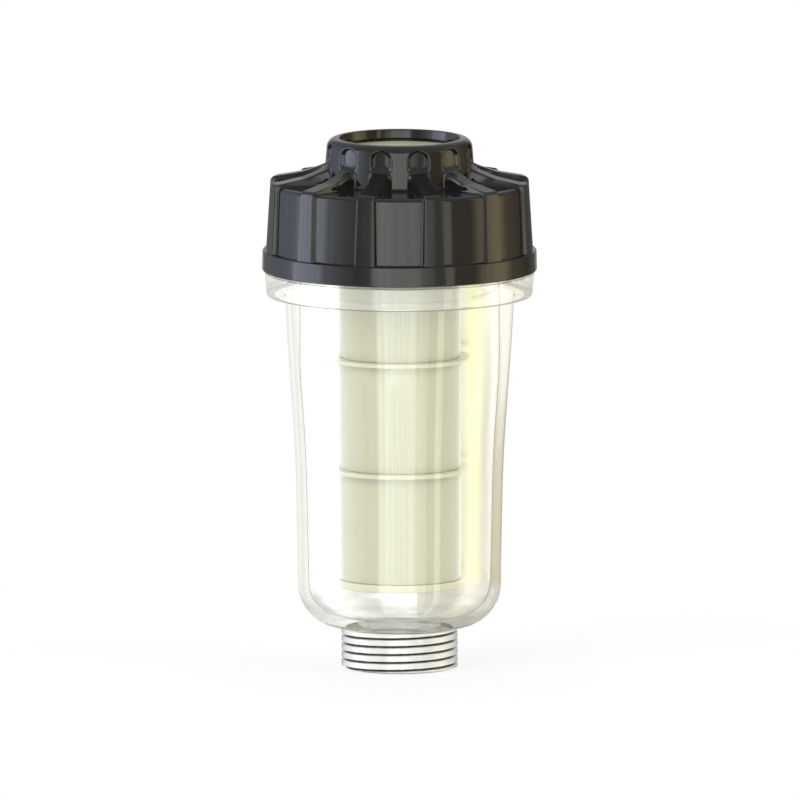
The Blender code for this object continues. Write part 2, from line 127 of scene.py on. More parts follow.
def draw_outline(name, points, closed=True):
    """An outline in the XZ plane, of (radius, height) in mm: one vertex, extruded along it."""
    deselect_all()
    bpy.ops.mesh.primitive_plane_add(size=MM)
    outline = bpy.context.object
    outline.name = outline.data.name = name
    bpy.ops.object.mode_set(mode="EDIT")
    bpy.ops.mesh.merge(type="CENTER")
    places = [Vector((radius, 0, height)) * MM for radius, height in points]
    bpy.ops.transform.translate(value=places[0])
    for here, there in zip(places, places[1:] + places[:1] * closed):
        bpy.ops.mesh.extrude_vertices_move(TRANSFORM_OT_translate={"value": there - here})
    bpy.ops.mesh.select_all(action="SELECT")
    bpy.ops.mesh.remove_doubles(threshold=MERGE_WITHIN)
    bpy.ops.object.mode_set(mode="OBJECT")
    return outline


def spin(piece, steps, angle=math.tau):
    """Spin all of a piece about the filter's axis."""
    edit(piece)
    bpy.ops.mesh.spin(steps=steps, angle=angle, center=(0, 0, 0), axis=(0, 0, 1))
    bpy.ops.object.mode_set(mode="OBJECT")
    return piece


def turned(name, corners, steps=128, smooth_angle=30.0):
    """A closed outline with fillets, spun all the way round and tidied."""
    piece = draw_outline(name, filleted(corners))
    return tidy(spin(piece, steps), smooth_angle)


square_corner = filleted([(0, 0, 0), (5, 0, 2), (5, 5, 0)])
print("points of a fillet in a square corner:", len(square_corner) - 2)

# %% [markdown]
# Shaders are easier to read as arithmetic than as a list of links. `Wire` stands for one output of
# a node tree, and an operator on it adds a Math node.

# %% Wires, with arithmetic
class Wire:
    """One output socket; sums and products on it are Math nodes."""

    def __init__(self, finish, socket):
        self.finish = finish
        self.socket = socket

    def math(self, operation, *operands):
        """A Math node on these operands."""
        return self.finish.add("ShaderNodeMath", {"operation": operation},
                               dict(enumerate(operands)))

    def above(self, limit):
        """1 where the value is above a limit, and 0 elsewhere."""
        return self.math("GREATER_THAN", self, limit)

    def below(self, limit):
        """1 where the value is below a limit, and 0 elsewhere."""
        return self.math("LESS_THAN", self, limit)

    def at_least(self, other):
        """The larger of two values."""
        return self.math("MAXIMUM", self, other)

    def sine(self):
        """The sine of an angle."""
        return self.math("SINE", self)

    def __add__(self, other):
        return self.math("ADD", self, other)

    def __radd__(self, other):
        return self.math("ADD", other, self)

    def __sub__(self, other):
        return self.math("SUBTRACT", self, other)

    def __rsub__(self, other):
        return self.math("SUBTRACT", other, self)

    def __mul__(self, other):
        return self.math("MULTIPLY", self, other)

    def __rmul__(self, other):
        return self.math("MULTIPLY", other, self)


print("a wire has:", ", ".join(name for name in vars(Wire) if not name.startswith("__")))

# %% [markdown]
# `Finish` holds a material. Its method `add` adds any node, sets it and wires it up, and the others
# are short names for what is added often.

# %% Finishes, node by node
class Finish:
    """A material, or the world, whose nodes are added one by one."""

    def __init__(self, name, holder=None):
        self.holder = holder or bpy.data.materials.new(name)
        self.holder.use_nodes = True
        self.tree = self.holder.node_tree
        self.tree.nodes.clear()

    def add(self, kind, settings=None, sockets=None, output=0):
        """Add a node, apply its settings, then give its sockets values or wires."""
        node = self.tree.nodes.new(kind)
        for key, value in (settings or {}).items():
            if key == "stops":
                self.set_ramp(node.color_ramp, value)
            else:
                setattr(node, key, value)
        for key, value in (sockets or {}).items():
            if isinstance(value, Wire):
                self.tree.links.new(value.socket, node.inputs[key])
            else:
                node.inputs[key].default_value = value
        return Wire(self, node.outputs[output]) if node.outputs else node

    def set_ramp(self, ramp, stops):
        """Give a colour ramp its (position, colour) stops."""
        for position, colour in stops[2:]:
            ramp.elements.new(position)
        for element, (position, colour) in zip(ramp.elements, sorted(stops)):
            element.position = position
            element.color = (*colour, 1)

    def blend(self, factor, first, second):
        """Mix two colours by a factor."""
        return self.add("ShaderNodeMix", {"data_type": "RGBA"}, {0: factor, 6: first, 7: second}, 2)

    def noise(self, position, scale, detail=2.0):
        """Noise from 0 to 1 about a middle of 0.5."""
        return self.add("ShaderNodeTexNoise", None,
                        {"Vector": position, "Scale": scale, "Detail": detail})

    def place(self, stretch=(1, 1, 1)):
        """A point's own place on the object, stretched if asked."""
        own = self.add("ShaderNodeTexCoord", output=3)
        if stretch == (1, 1, 1):
            return own
        return self.add("ShaderNodeMapping", None, {"Vector": own, "Scale": stretch})

    def along(self, axis):
        """One coordinate of a point's own place: 0 for X, 1 for Y and 2 for Z."""
        return self.add("ShaderNodeSeparateXYZ", None, {0: self.place()}, axis)

    def soft_step(self, value, start, end, low=0.0, high=1.0):
        """A smooth step from low, where the value is at start, to high, where it is at end."""
        return self.add("ShaderNodeMapRange", {"interpolation_type": "SMOOTHSTEP"},
                        {"Value": value, "From Min": start, "From Max": end,
                         "To Min": low, "To Max": high})

    def ray(self, fact):
        """What the Light Path node tells about the ray that arrives."""
        path = self.add("ShaderNodeLightPath").socket.node
        return Wire(self, path.outputs[fact])

    def mix(self, factor, first, second):
        """Mix two shaders by a factor."""
        return self.add("ShaderNodeMixShader", None, {0: factor, 1: first, 2: second})

    def bump(self, height, depth, strength=1.0):
        """A normal from a height of 0 to 1 that stands for a depth in metres."""
        return self.add("ShaderNodeBump", None,
                        {"Height": height, "Distance": depth, "Strength": strength})

    def finish(self, surface, kind="ShaderNodeOutputMaterial"):
        """Wire a shader to the output."""
        self.add(kind, None, {"Surface": surface})
        return self.holder


def rgb(red, green, blue):
    """A colour in linear light with its alpha."""
    return (red, green, blue, 1.0)


print("a finish has:", ", ".join(name for name in vars(Finish) if not name.startswith("__")))

# %% [markdown]
# In the photograph round edges at every height are ellipses of one shape, so there is no
# perspective, and the camera is orthographic. The ellipses say that it looks down by 7.8 degrees.
# The turns of the outlet's thread are of a known pitch, which makes a pixel 0.2275 mm.

# %% Camera
PIXEL = 0.2275 * MM
PIXELS_ACROSS = 800
DISTANCE = 1.2
ELEVATION = math.radians(7.8)
AIM = Vector((0.1 * MM, 0, 61.3 * MM))

deselect_all()
eye = AIM + DISTANCE * Vector((0, -math.cos(ELEVATION), math.sin(ELEVATION)))
bpy.ops.object.camera_add(location=eye)
camera = bpy.context.object
camera.rotation_euler = (AIM - eye).to_track_quat("-Z", "Y").to_euler()
camera.data.type = "ORTHO"
camera.data.ortho_scale = PIXELS_ACROSS * PIXEL
camera.data.clip_start = 0.01
camera.data.clip_end = 100
bpy.context.scene.camera = camera
bpy.context.scene.view_settings.view_transform = "Standard"
print("width of the picture:", round(camera.data.ortho_scale / MM, 1), "mm")

# %% [markdown]
# The studio is white: the world, and a floor wide enough to fill the frame. What the camera sees
# directly, in a reflection or through the clear bowl is plain white. Only near the filter a fifth
# of the floor's own lit surface is mixed in, which carries the soft shadow. Lamps and world
# together light a white card to about white.

# %% White world and floor
def seen_directly(finish):
    """1 for camera, glossy and transmission rays, which show the white background."""
    mirrored_or_through = finish.ray("Is Glossy Ray").at_least(finish.ray("Is Transmission Ray"))
    return finish.ray("Is Camera Ray").at_least(mirrored_or_through)


def hide_from(piece, *rays):
    """Keep a piece of the stage out of sight of some kinds of ray."""
    for ray in rays:
        setattr(piece, "visible_" + ray, False)


WORLD_LEVEL = 0.55
world = Finish("studio", bpy.data.worlds.new("studio"))
bpy.context.scene.world = world.holder
seen = seen_directly(world)
level = seen * (1 - WORLD_LEVEL) + WORLD_LEVEL
sky = world.add("ShaderNodeBackground", None, {"Color": rgb(1, 1, 1), "Strength": level})
world.finish(sky, "ShaderNodeOutputWorld")

SHADOW_CORE = 30 * MM
SHADOW_END = 160 * MM
CORE_WHITE = 0.80
deselect_all()
bpy.ops.mesh.primitive_circle_add(vertices=96, radius=9, fill_type="NGON")
floor = bpy.context.object
floor.name = "floor"
pale = Finish("pale_floor")
grain = pale.noise(pale.place(), 900.0)
card = pale.add("ShaderNodeBsdfDiffuse", None,
                {"Color": pale.blend(grain, rgb(0.86, 0.86, 0.86), rgb(0.90, 0.90, 0.90))})
glow = pale.add("ShaderNodeEmission", None, {"Color": rgb(1, 1, 1), "Strength": 1.0})
spread = pale.add("ShaderNodeVectorMath", {"operation": "LENGTH"}, {0: pale.place()}, 1)
away = pale.soft_step(spread, SHADOW_CORE, SHADOW_END, CORE_WHITE, 1.0)
floor.data.materials.append(pale.finish(pale.mix(seen_directly(pale) * away, card, glow)))
hide_from(floor, "glossy")
print("floor:", floor.dimensions.x, "m across, world level", WORLD_LEVEL)

# %% [markdown]
# Soft boxes give a moulding its form. Their light comes from three area lamps: a large one at the
# front left, a slightly warm one at the right and a weak one overhead. Reflections don't show the
# lamps, because what a reflection shows is laid out on its own in the next step.

# %% Lamps
def soft_box(name, place, size, watts, colour):
    """A square area lamp aimed at the middle of the filter, which reflections don't show."""
    deselect_all()
    bpy.ops.object.light_add(type="AREA", location=place)
    lamp = bpy.context.object
    lamp.name = name
    lamp.data.size = size
    lamp.data.energy = watts
    lamp.data.color = colour
    lamp.rotation_euler = (AIM - Vector(place)).to_track_quat("-Z", "Y").to_euler()
    hide_from(lamp, "glossy")
    print(name, watts, "W,", size, "m wide")
    return lamp


soft_box("left_box", (-1.1, -1.0, 1.0), 0.9, 14.0, (0.96, 0.98, 1.0))
soft_box("right_box", (1.2, -0.5, 0.8), 0.7, 6.0, (1.0, 0.96, 0.88))
soft_box("top_box", (0.0, 0.3, 1.6), 1.0, 8.0, (1.0, 1.0, 1.0))

# %% [markdown]
# Black gloss and clear plastic show not the lamps but the room. A dome round the set, which the
# camera doesn't see, is painted with that room. Seen from above, its tones go round by angle: 0 is
# in front of the filter, behind the camera, and +90 is at the right. A cool box stands at the left,
# a narrow neutral one in front and a warm one at the right, with dark cloth between them.

# %% The room by angle
BOX_LIGHT = 4.0
ROOM = [
    (-180, (0.55, 0.53, 0.52)), (-166, (0.5, 0.49, 0.48)), (-158, (0.24, 0.24, 0.25)),
    (-136, (0.45, 0.46, 0.5)), (-113, (0.8, 0.9, 1.2)), (-104, (1.2, 1.3, 1.6)),
    (-98, (2.9, 3.1, 3.8)), (-72, (2.7, 2.9, 3.3)), (-66, (1.5, 1.6, 1.8)),
    (-50, (0.85, 0.80, 0.82)), (-36, (0.42, 0.40, 0.38)), (-25, (0.62, 0.60, 0.58)),
    (-21, (2.3, 2.35, 2.3)), (-11, (2.9, 2.95, 2.9)), (-9, (2.4, 2.45, 2.4)),
    (14, (2.4, 2.45, 2.3)), (18, (1.7, 1.75, 1.5)), (28, (1.1, 1.1, 1.0)),
    (31, (0.55, 0.55, 0.42)), (38, (0.55, 0.55, 0.45)),
    (40, (1.8, 1.8, 1.5)), (45, (1.7, 1.6, 1.2)), (47, (0.45, 0.40, 0.28)),
    (66, (0.45, 0.38, 0.24)), (74, (1.7, 1.4, 0.85)), (90, (2.2, 1.85, 1.1)),
    (101, (1.6, 1.35, 0.75)), (108, (0.6, 0.46, 0.26)), (132, (0.15, 0.13, 0.09)),
    (158, (0.22, 0.21, 0.2)), (166, (0.5, 0.48, 0.47)), (180, (0.55, 0.53, 0.52)),
]
print("room:", len(ROOM), "tones round the filter, the brightest",
      max(max(tone) for _, tone in ROOM))

# %% Dome
DOME_RADIUS = 1.0
deselect_all()
bpy.ops.mesh.primitive_uv_sphere_add(segments=96, ring_count=48, radius=DOME_RADIUS)
dome = bpy.context.object
dome.name = "reflection_dome"
hide_from(dome, "camera", "diffuse", "volume_scatter", "shadow")
cloth = Finish("reflection_cloth")
turned_place = cloth.add("ShaderNodeMapping", None,
                         {"Vector": cloth.place(), "Rotation": (0, 0, math.radians(90))})
round_about = cloth.add("ShaderNodeTexGradient", {"gradient_type": "RADIAL"},
                        {"Vector": turned_place}, 1)
ROOM_STOPS = [(angle / 360 + 0.5, tuple(part / BOX_LIGHT for part in tone))
              for angle, tone in ROOM]
room_tones = cloth.add("ShaderNodeValToRGB", {"stops": ROOM_STOPS}, {0: round_about})
upward = cloth.soft_step(cloth.along(2), 0.42, 0.75)
downward = cloth.soft_step(cloth.along(2), -0.75, -0.95)
under_ceiling = cloth.blend(upward, room_tones, rgb(0.12, 0.12, 0.13))
room = cloth.blend(downward, under_ceiling, rgb(0.15, 0.15, 0.155))
print("dome:", len(dome.data.polygons), "faces")

# %% [markdown]
# Light that has gone through the bowl's wall and leaves it sideways or to the back should find no
# box there, or the wall's inner mirrors would fill the strip beside the insert with it. Such rays
# see an even tone. Fine streaks that run up the dome give the boxes the unevenness of real ones.

# %% What each ray sees of the dome
EVEN_TONE = rgb(0.27, 0.27, 0.262)
FRONT_ENDS, SIDES_START = -0.45, -0.15
STREAK_SHARE, PLAIN_SHARE = 0.9, 0.55
sideways_or_back = cloth.soft_step(cloth.along(1), FRONT_ENDS, SIDES_START)
from_the_bowl = sideways_or_back * cloth.ray("Transmission Depth").above(0.5)
streak = cloth.noise(cloth.place((1, 1, 0)), 26.0, 4.0)
light = cloth.add("ShaderNodeEmission", None, {
    "Color": cloth.blend(from_the_bowl, room, EVEN_TONE),
    "Strength": streak * (STREAK_SHARE * BOX_LIGHT) + PLAIN_SHARE * BOX_LIGHT})
clear = cloth.add("ShaderNodeBsdfTransparent", None, {"Color": rgb(1, 1, 1)})
reflection = cloth.ray("Ray Depth").above(0.5)
dome.data.materials.append(cloth.finish(cloth.mix(reflection, clear, light)))
dome.data.materials[0].cycles.emission_sampling = "NONE"
print("reflection cloth:", len(cloth.tree.nodes), "nodes")

# %% [markdown]
# Beside the insert the photograph's bowl shows a warm yellow strip, a darker beige line and a pale
# edge: the studio's warm side, bent by the wall. The wall here bends light too little for that, so
# a narrow card with those tones stands behind the filter, and only rays through the bowl see it.

# %% Warm card, seen only through the clear bowl
CARD_WIDTH, CARD_HEIGHT = 35 * MM, 300 * MM
CARD_MIDDLE = (21.5 * MM, 45 * MM, 151 * MM)
deselect_all()
bpy.ops.mesh.primitive_plane_add(size=1.0)
warm_card = bpy.context.object
warm_card.name = "warm_card"
bpy.ops.object.mode_set(mode="EDIT")
bpy.ops.transform.resize(value=(CARD_WIDTH, CARD_HEIGHT, 1.0))
bpy.ops.transform.rotate(value=math.radians(90), orient_axis="X", center_override=(0, 0, 0))
bpy.ops.transform.translate(value=CARD_MIDDLE)
bpy.ops.object.mode_set(mode="OBJECT")
hide_from(warm_card, "camera", "diffuse", "glossy", "volume_scatter", "shadow")
print("warm card from x", round((CARD_MIDDLE[0] - CARD_WIDTH / 2) / MM, 1), "mm")

# %% Tones of the warm card, by millimetres to the right of the axis
PAPER_SPAN = 40
PAPER_BANDS = [
    (15.2, (0.40, 0.42, 0.24)), (16.5, (0.57, 0.59, 0.06)), (18.3, (0.57, 0.59, 0.04)),
    (19.3, (0.28, 0.24, 0.01)), (20.5, (0.45, 0.38, 0.14)), (22.2, (1.0, 0.97, 0.85)),
]
paper = Finish("warm_paper")
bands = paper.add("ShaderNodeValToRGB",
                  {"stops": [(x / PAPER_SPAN, tone) for x, tone in PAPER_BANDS]},
                  {0: paper.along(0) * (1 / (PAPER_SPAN * MM))})
behind_foot = paper.soft_step(paper.along(2), 14.5 * MM, 11.5 * MM)
paper_tone = paper.blend(behind_foot, bands, rgb(0.56, 0.56, 0.49))
warm_card.data.materials.append(paper.finish(
    paper.add("ShaderNodeEmission", None, {"Color": paper_tone, "Strength": 1.0})))
warm_card.data.materials[0].cycles.emission_sampling = "NONE"
print("warm card:", len(PAPER_BANDS), "bands")

# %% [markdown]
# Black polypropylene is almost black by itself. What the eye sees is its polish, with a faint
# unevenness where the mould's steel was less bright, so the roughness wanders a little and a very
# shallow, slow wave bends the reflections.

# %% Black moulded plastic
def principled(finish, sockets):
    """A Principled shader with these sockets."""
    return finish.add("ShaderNodeBsdfPrincipled", None, sockets)


black = Finish("black_plastic")
cloudy = black.noise(black.place(), 55.0, 3.0)
fine = black.noise(black.place(), 1400.0, 2.0)
black_plastic = black.finish(principled(black, {
    "Base Color": black.blend(cloudy, rgb(0.0085, 0.0085, 0.0088), rgb(0.0135, 0.0130, 0.0125)),
    "Roughness": cloudy * 0.04 + fine * 0.02 + 0.05,
    "IOR": 1.50,
    "Normal": black.bump(cloudy * 0.7 + fine * 0.3, 0.012 * MM, 0.25),
}))
print("black plastic:", len(black.tree.nodes), "nodes")

# %% [markdown]
# The bowl is clear and thin for its size, so what stands behind it is hardly bent. With the index
# of real plastic its flat faces turn into black mirrors at this low camera, so light goes through
# at an index near 1. The gloss is added to it: a plain mirror of nine percent on each side of the
# wall, and a softer mirror that grows where the wall is seen edge on.

# %% Clear wall
SEEN_THROUGH_INDEX = 1.006
crystal = Finish("clear_plastic")
slow = crystal.noise(crystal.place((1, 1, 0.35)), 60.0, 1.0)
glass = principled(crystal, {
    "Base Color": crystal.blend(slow, rgb(0.985, 0.985, 0.965), rgb(0.995, 0.995, 0.980)),
    "Roughness": slow * 0.004,
    "IOR": SEEN_THROUGH_INDEX,
    "Transmission Weight": 1.0,
    "Normal": crystal.bump(slow, 0.02 * MM, 0.2),
})
mirror_coat = crystal.add("ShaderNodeBsdfAnisotropic", None, {
    "Color": rgb(0.09, 0.09, 0.09),
    "Roughness": 0.01,
    "Normal": crystal.bump(slow, 0.02 * MM, 0.2),
})
seen_through = crystal.add("ShaderNodeAddShader", None, {0: glass, 1: mirror_coat})
edge_mirror = crystal.add("ShaderNodeBsdfAnisotropic", None,
                          {"Color": rgb(0.9, 0.9, 0.88), "Roughness": 0.06})
edge_on = crystal.add("ShaderNodeFresnel", None, {"IOR": 1.35}) * 0.4
clear_wall = crystal.mix(edge_on, seen_through, edge_mirror)
print("clear wall:", len(crystal.tree.nodes), "nodes")

# %% [markdown]
# Two places are not quite clear. The round bottom is thick, and flow lines from the mould make it
# milky in swirls; the grey of that milk also stands in as painted shade on the bottom's underside.
# The flange is a thick ring that gathers light and looks like pearl, and the darker lines along its
# rounded edges are painted shade, a grey copy of the pearl's white. Both are plain white and grey
# shaders mixed in by height and by distance from the axis. A shadow ray passes straight through, so
# that the lamps reach the insert, as they do through the real wall.

# %% Milky bottom and pearly flange, with painted shade in both
BOTTOM_CLEAR_AT, BOTTOM_MILKY_AT, BOTTOM_SHARE = 20.5 * MM, 14.0 * MM, 0.2
EVEN_MILK = 0.2
FLANGE_FROM_AXIS, FLANGE_UNDER, FLANGE_SHARE = 28.2 * MM, 90.9 * MM, 0.24
FLANGE_MIDDLE, EDGE_SHADE_FROM, EDGE_SHADE_TO = 88.3 * MM, 2.25 * MM, 2.5 * MM


def white(finish, red, green, blue):
    """A plain white or grey shader."""
    return finish.add("ShaderNodeBsdfDiffuse", None, {"Color": rgb(red, green, blue)})


up_the_wall = crystal.along(2)
swirl = crystal.noise(crystal.place((1, 1, 4)), 70.0, 3.0) * 7.0 - 2.9
# The bottom's grey diffuse is partly milk in swirls and partly painted shade for the underside.
bottom_milk_and_shade = crystal.soft_step(up_the_wall, BOTTOM_CLEAR_AT, BOTTOM_MILKY_AT, 0.0, BOTTOM_SHARE)
bottom = crystal.mix(bottom_milk_and_shade * (EVEN_MILK + swirl.at_least(0.0)), clear_wall,
                     white(crystal, 0.52, 0.52, 0.48))

from_axis = crystal.add("ShaderNodeVectorMath", {"operation": "LENGTH"},
                        {0: crystal.place((1, 1, 0))}, 1)
flange = from_axis.above(FLANGE_FROM_AXIS) * up_the_wall.below(FLANGE_UNDER) * FLANGE_SHARE
from_middle = up_the_wall.math("ABSOLUTE", up_the_wall - FLANGE_MIDDLE)
# Painted shade: along the flange's rounded edges a dark grey copy of the pearl white is mixed in,
# and more of the flange with it.
painted_edge_shade = crystal.soft_step(from_middle, EDGE_SHADE_FROM, EDGE_SHADE_TO)
pearl_and_edge_shade = crystal.mix(painted_edge_shade, white(crystal, 0.98, 0.98, 0.86), white(crystal, 0.30, 0.30, 0.26))
wall = crystal.mix(flange * (painted_edge_shade + 1.0), bottom, pearl_and_edge_shade)

shadow_passes = crystal.add("ShaderNodeBsdfTransparent", None, {"Color": rgb(0.97, 0.97, 0.94)})
clear_plastic = crystal.finish(crystal.mix(crystal.ray("Is Shadow Ray"), wall, shadow_passes))
print("clear plastic:", len(crystal.tree.nodes), "nodes")

# %% [markdown]
# The outlet's thread is rougher from the mould and looks milky. Its dark grooves are painted shade:
# a colour attribute, painted where the thread is cut, darkens the base colour there, where the
# grooves' steep sides would turn the light away.

# %% Milky thread, with painted shade in its grooves
milky = Finish("milky_thread")
groove = milky.add("ShaderNodeVertexColor", {"layer_name": "groove"})
haze = milky.noise(milky.place(), 80.0, 2.0)
crest_tone = milky.blend(haze, rgb(0.93, 0.93, 0.89), rgb(0.97, 0.97, 0.95))
milky_thread = milky.finish(principled(milky, {
    # Painted shade: the base colour turns nearly black in the grooves.
    "Base Color": milky.blend(groove, crest_tone, rgb(0.035, 0.035, 0.022)),
    "Roughness": haze * 0.04 + 0.06,
    "IOR": 1.49,
    "Transmission Weight": 0.15,
    "Coat Weight": 1.0,
    "Coat Roughness": 0.02,
    "Normal": milky.bump(haze, 0.02 * MM, 0.2),
}))
print("milky thread:", len(milky.tree.nodes), "nodes")

# %% [markdown]
# The insert, its end cap and the inlet bush are moulded in a pale cream plastic that is not quite
# even in colour, so a slow noise mottles its tone and its gloss.

# %% Cream plastic
cream = Finish("cream_plastic")
mottle = cream.noise(cream.place(), 90.0, 3.0)
cream_plastic = cream.finish(principled(cream, {
    "Base Color": cream.blend(mottle, rgb(0.42, 0.415, 0.28), rgb(0.48, 0.475, 0.33)),
    "Roughness": mottle * 0.04 + 0.14,
    "Coat Weight": 0.6,
    "Coat Roughness": 0.05,
    "Normal": cream.bump(mottle, 0.02 * MM, 0.2),
}))
print("cream plastic:", len(cream.tree.nodes), "nodes")

# %% [markdown]
# The sleeves are a woven screen, finer than a pixel of the photograph. One wave goes round the axis
# and one goes up it, and their product is a pattern of crossed threads. It is a bump and a slight
# change of tone.

# %% Woven screen
THREAD_PITCH = 0.25 * MM
SLEEVE_RADIUS = 14.0
weave = Finish("screen_mesh")
across = weave.along(0)
around = across.math("ARCTAN2", weave.along(1), across)
turns = around * (SLEEVE_RADIUS * MM * math.tau / THREAD_PITCH)
rows = weave.along(2) * (math.tau / THREAD_PITCH)
cross = turns.sine() * rows.sine() * 0.5 + 0.5
patchy = weave.noise(weave.place(), 70.0, 3.0)
woven_tone = weave.blend(cross * 0.5 + patchy * 0.5,
                         rgb(0.32, 0.325, 0.210), rgb(0.365, 0.370, 0.245))
screen_mesh = weave.finish(principled(weave, {
    "Base Color": woven_tone,
    "Roughness": cross * 0.04 + 0.12,
    "Coat Weight": 0.8,
    "Coat Roughness": 0.03,
    "Normal": weave.bump(cross, 0.02 * MM, 0.03),
}))
print("threads round a sleeve:", round(SLEEVE_RADIUS * MM * math.tau / THREAD_PITCH))

# %% [markdown]
# The seals are black rubber and the inlet's gasket is a greyer one. Both are dull, with a fine
# grain like dust. The two ring seals need no better shape than the frame's own, so they keep their
# nodes and only get a finish.

# %% Rubber
rubber = Finish("seal_rubber")
dust = rubber.noise(rubber.place(), 700.0, 3.0)
seal_rubber = rubber.finish(principled(rubber, {
    "Base Color": rubber.blend(dust, rgb(0.012, 0.012, 0.012), rgb(0.028, 0.027, 0.026)),
    "Roughness": dust * 0.2 + 0.5,
    "Normal": rubber.bump(dust, 0.02 * MM, 0.4),
}))
gasket = Finish("gasket_rubber")
speckle = gasket.noise(gasket.place(), 900.0, 3.0)
gasket_rubber = gasket.finish(principled(gasket, {
    "Base Color": gasket.blend(speckle, rgb(0.06, 0.06, 0.062), rgb(0.11, 0.11, 0.112)),
    "Roughness": speckle * 0.2 + 0.55,
    "Normal": gasket.bump(speckle, 0.02 * MM, 0.4),
}))
for name in ("cap_seal_ring", "bush_seal_ring"):
    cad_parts[name].data.materials.clear()
    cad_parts[name].data.materials.append(seal_rubber)
    print(name, "is rubber")

# %% [markdown]
# By hand a modifier is added to the selected piece, set and applied. Weighted Normal comes after
# the last change to the shape of a moulding, because a fillet beside a large flat face would else
# tint that face's shading.

# %% Apply a modifier
def apply_modifier(piece, kind, **settings):
    """Add a modifier, give it its settings and apply it."""
    deselect_all()
    piece.select_set(True)
    bpy.context.view_layer.objects.active = piece
    work = piece.modifiers.new(kind.title(), kind)
    for key, value in settings.items():
        setattr(work, key, value)
    bpy.ops.object.modifier_apply(modifier=work.name)
    return piece


def flatten(piece):
    """Let the large faces set the shading, so that only the fillets look round."""
    return apply_modifier(piece, "WEIGHTED_NORMAL", keep_sharp=True)


# %% [markdown]
# Three walls carry a thread: the outlet spigot and the bush have a 3/4 inch pipe thread, 1.814 mm
# from turn to turn, and the neck has a coarse one of 4 mm. By hand a thread is painted on a smooth
# wall as weights that climb one pitch in each turn, and a Displace modifier raises it by the depth.
# The wall needs rows closer than a tenth of a pitch, and it keeps one closed skin, which matters in
# clear plastic.

# %% Raise a thread from a wall
PIPE_PITCH = 1.814


def place_table(piece):
    """Radius, angle and height of each vertex, in mm and radians."""
    places = np.empty(len(piece.data.vertices) * 3)
    piece.data.vertices.foreach_get("co", places)
    x, y, z = places.reshape(-1, 3).T / MM
    return np.hypot(x, y), np.arctan2(y, x), z


def smoothstep(value):
    """0 below 0, 1 above 1 and a soft rise between them."""
    value = np.clip(value, 0, 1)
    return value * value * (3 - 2 * value)


def raise_thread(piece, wall, span, pitch, depth, crest_at, flank, fade=0.5, root=0.04):
    """Displace a thread from the wall of a given radius, between two heights.

    Root and flank are shares of half a pitch, and crest_at is the height of a crest at the front.
    """
    radius, angle, height = place_table(piece)
    turn = (height - crest_at) / pitch - (angle + math.pi / 2) / math.tau
    ridge = np.clip((np.abs(2 * (turn - np.floor(turn)) - 1) - root) / flank, 0, 1)
    weight = 0.5 * (ridge + smoothstep(ridge))
    weight *= smoothstep((height - span[0]) / fade) * smoothstep((span[1] - height) / fade)
    on_wall = (np.abs(radius - wall) < 0.05) & (height > span[0]) & (height < span[1])
    piece.vertex_groups.clear()
    group = piece.vertex_groups.new(name="thread")
    for index in np.flatnonzero(on_wall & (weight > 0.001)):
        group.add([int(index)], float(weight[index]), "REPLACE")
    apply_modifier(piece, "DISPLACE", mid_level=0.0, strength=depth * MM, vertex_group="thread")
    print(piece.name, "thread on", int(on_wall.sum()), "vertices")
    return np.where(on_wall, 1 - weight, 0)


print("turns of pipe thread in an inch:", round(25.4 / PIPE_PITCH, 1))

# %% [markdown]
# The bowl is one clear moulding: the threaded spigot, a round bottom, a body that widens slowly and
# swells towards its flange, and a threaded neck inside the cap. Its two skins are one closed
# outline, so the wall has its real thickness. The points at the wall of a thread stand close
# together, because each thread is raised from them.

# %% Sizes of the bowl, in mm
SPIGOT_ROOT, SPIGOT_CREST, OUTLET_BORE = 12.1, 13.22, 9.5
BOWL_FOOT, FLOOR_INSIDE = 9.6, 12.2
BODY_TOP, FLANGE_TOP, NECK_TOP = 85.6, 91.0, 104.6
NECK_WALL, NECK_BORE, BODY_WALL = 25.0, 22.6, 2.4
TAPER_LENGTH, TAPER_STEPS = 66.1, 14


def body_radius(height):
    """Outside radius of the body at a height, in mm."""
    swell = float(smoothstep((height - 42.0) / 46.0))
    return 23.0 + 0.0217 * (height - 19.5) + 1.6 * swell


stations = [BODY_TOP - TAPER_LENGTH * i / TAPER_STEPS for i in range(1, TAPER_STEPS)]
print("body radius:", round(body_radius(stations[-1]), 2), "to", round(body_radius(BODY_TOP), 2))

# %% Bowl
bowl = turned("bowl_shell", [
    (24.4, NECK_TOP, 0.3), (24.4, 102.0, 0), (NECK_WALL, 102.0, 0),
    *run((NECK_WALL, 101.6), (NECK_WALL, 91.6), 44),
    (NECK_WALL, FLANGE_TOP, 0.3), (30.7, FLANGE_TOP, 0.6), (30.2, BODY_TOP, 0.35),
    (body_radius(BODY_TOP), BODY_TOP, 0.2),
    *[(body_radius(z), z, 0) for z in stations],
    (23.0, BOWL_FOOT, 9.6), (SPIGOT_ROOT, BOWL_FOOT, 0.25),
    *run((SPIGOT_ROOT, 9.3), (SPIGOT_ROOT, 0.2), 90),
    (SPIGOT_ROOT - 0.1, 0.0, 0), (OUTLET_BORE, 0.0, 0.2),
    (OUTLET_BORE, FLOOR_INSIDE, 0.6), (20.6, FLOOR_INSIDE, 7.5),
    *[(min(body_radius(z) - BODY_WALL, NECK_BORE), z, 0) for z in reversed(stations)],
    (NECK_BORE, NECK_TOP, 0.2),
], steps=144)

# %% Threads of the spigot and the neck
SPIGOT_THREAD = {"wall": SPIGOT_ROOT, "span": (0.1, 9.45), "pitch": PIPE_PITCH,
                 "depth": SPIGOT_CREST - SPIGOT_ROOT, "crest_at": 1.75}
groove_depth = raise_thread(bowl, **SPIGOT_THREAD, flank=0.34, fade=0.35)
NECK_THREAD = {"wall": NECK_WALL, "span": (92.0, 101.4), "pitch": 4.0, "depth": 1.3,
               "crest_at": 94.1}
raise_thread(bowl, **NECK_THREAD, flank=0.66)
bpy.ops.object.shade_smooth_by_angle(angle=math.radians(40))
flatten(bowl)
